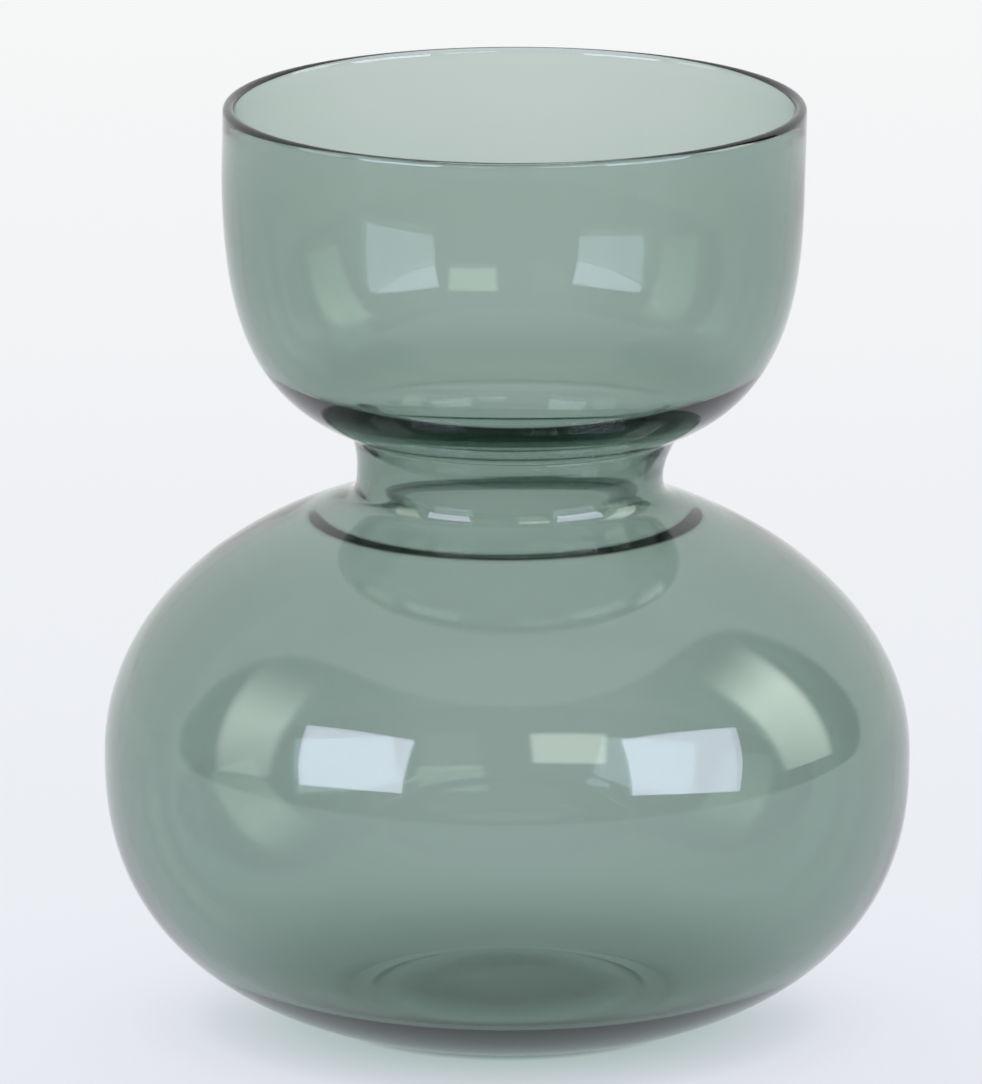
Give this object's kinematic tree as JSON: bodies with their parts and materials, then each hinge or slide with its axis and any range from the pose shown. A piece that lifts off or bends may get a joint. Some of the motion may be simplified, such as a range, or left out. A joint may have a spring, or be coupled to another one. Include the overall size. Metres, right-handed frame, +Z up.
{
  "type": "glass vase",
  "caption": "Tinted clear glass vase for forcing a flower bulb: an open cup on a waisted neck over a wide round bowl with a punted base.",
  "frame": {"origin": "centre of the foot, on the surface that the vase stands on", "axes": "+Z up along the vase's axis of revolution; X and Y lie in the standing plane and are interchangeable"},
  "size_m": [0.1644, 0.1644, 0.19],
  "materials": {
    "glass": "clear grey-green tinted blown glass, fire-polished, glossy inside and out"
  },
  "bodies": {
    "root": {"base": "glass", "bowl": "glass", "neck": "glass", "cup": "glass"}
  },
  "joints": []
}
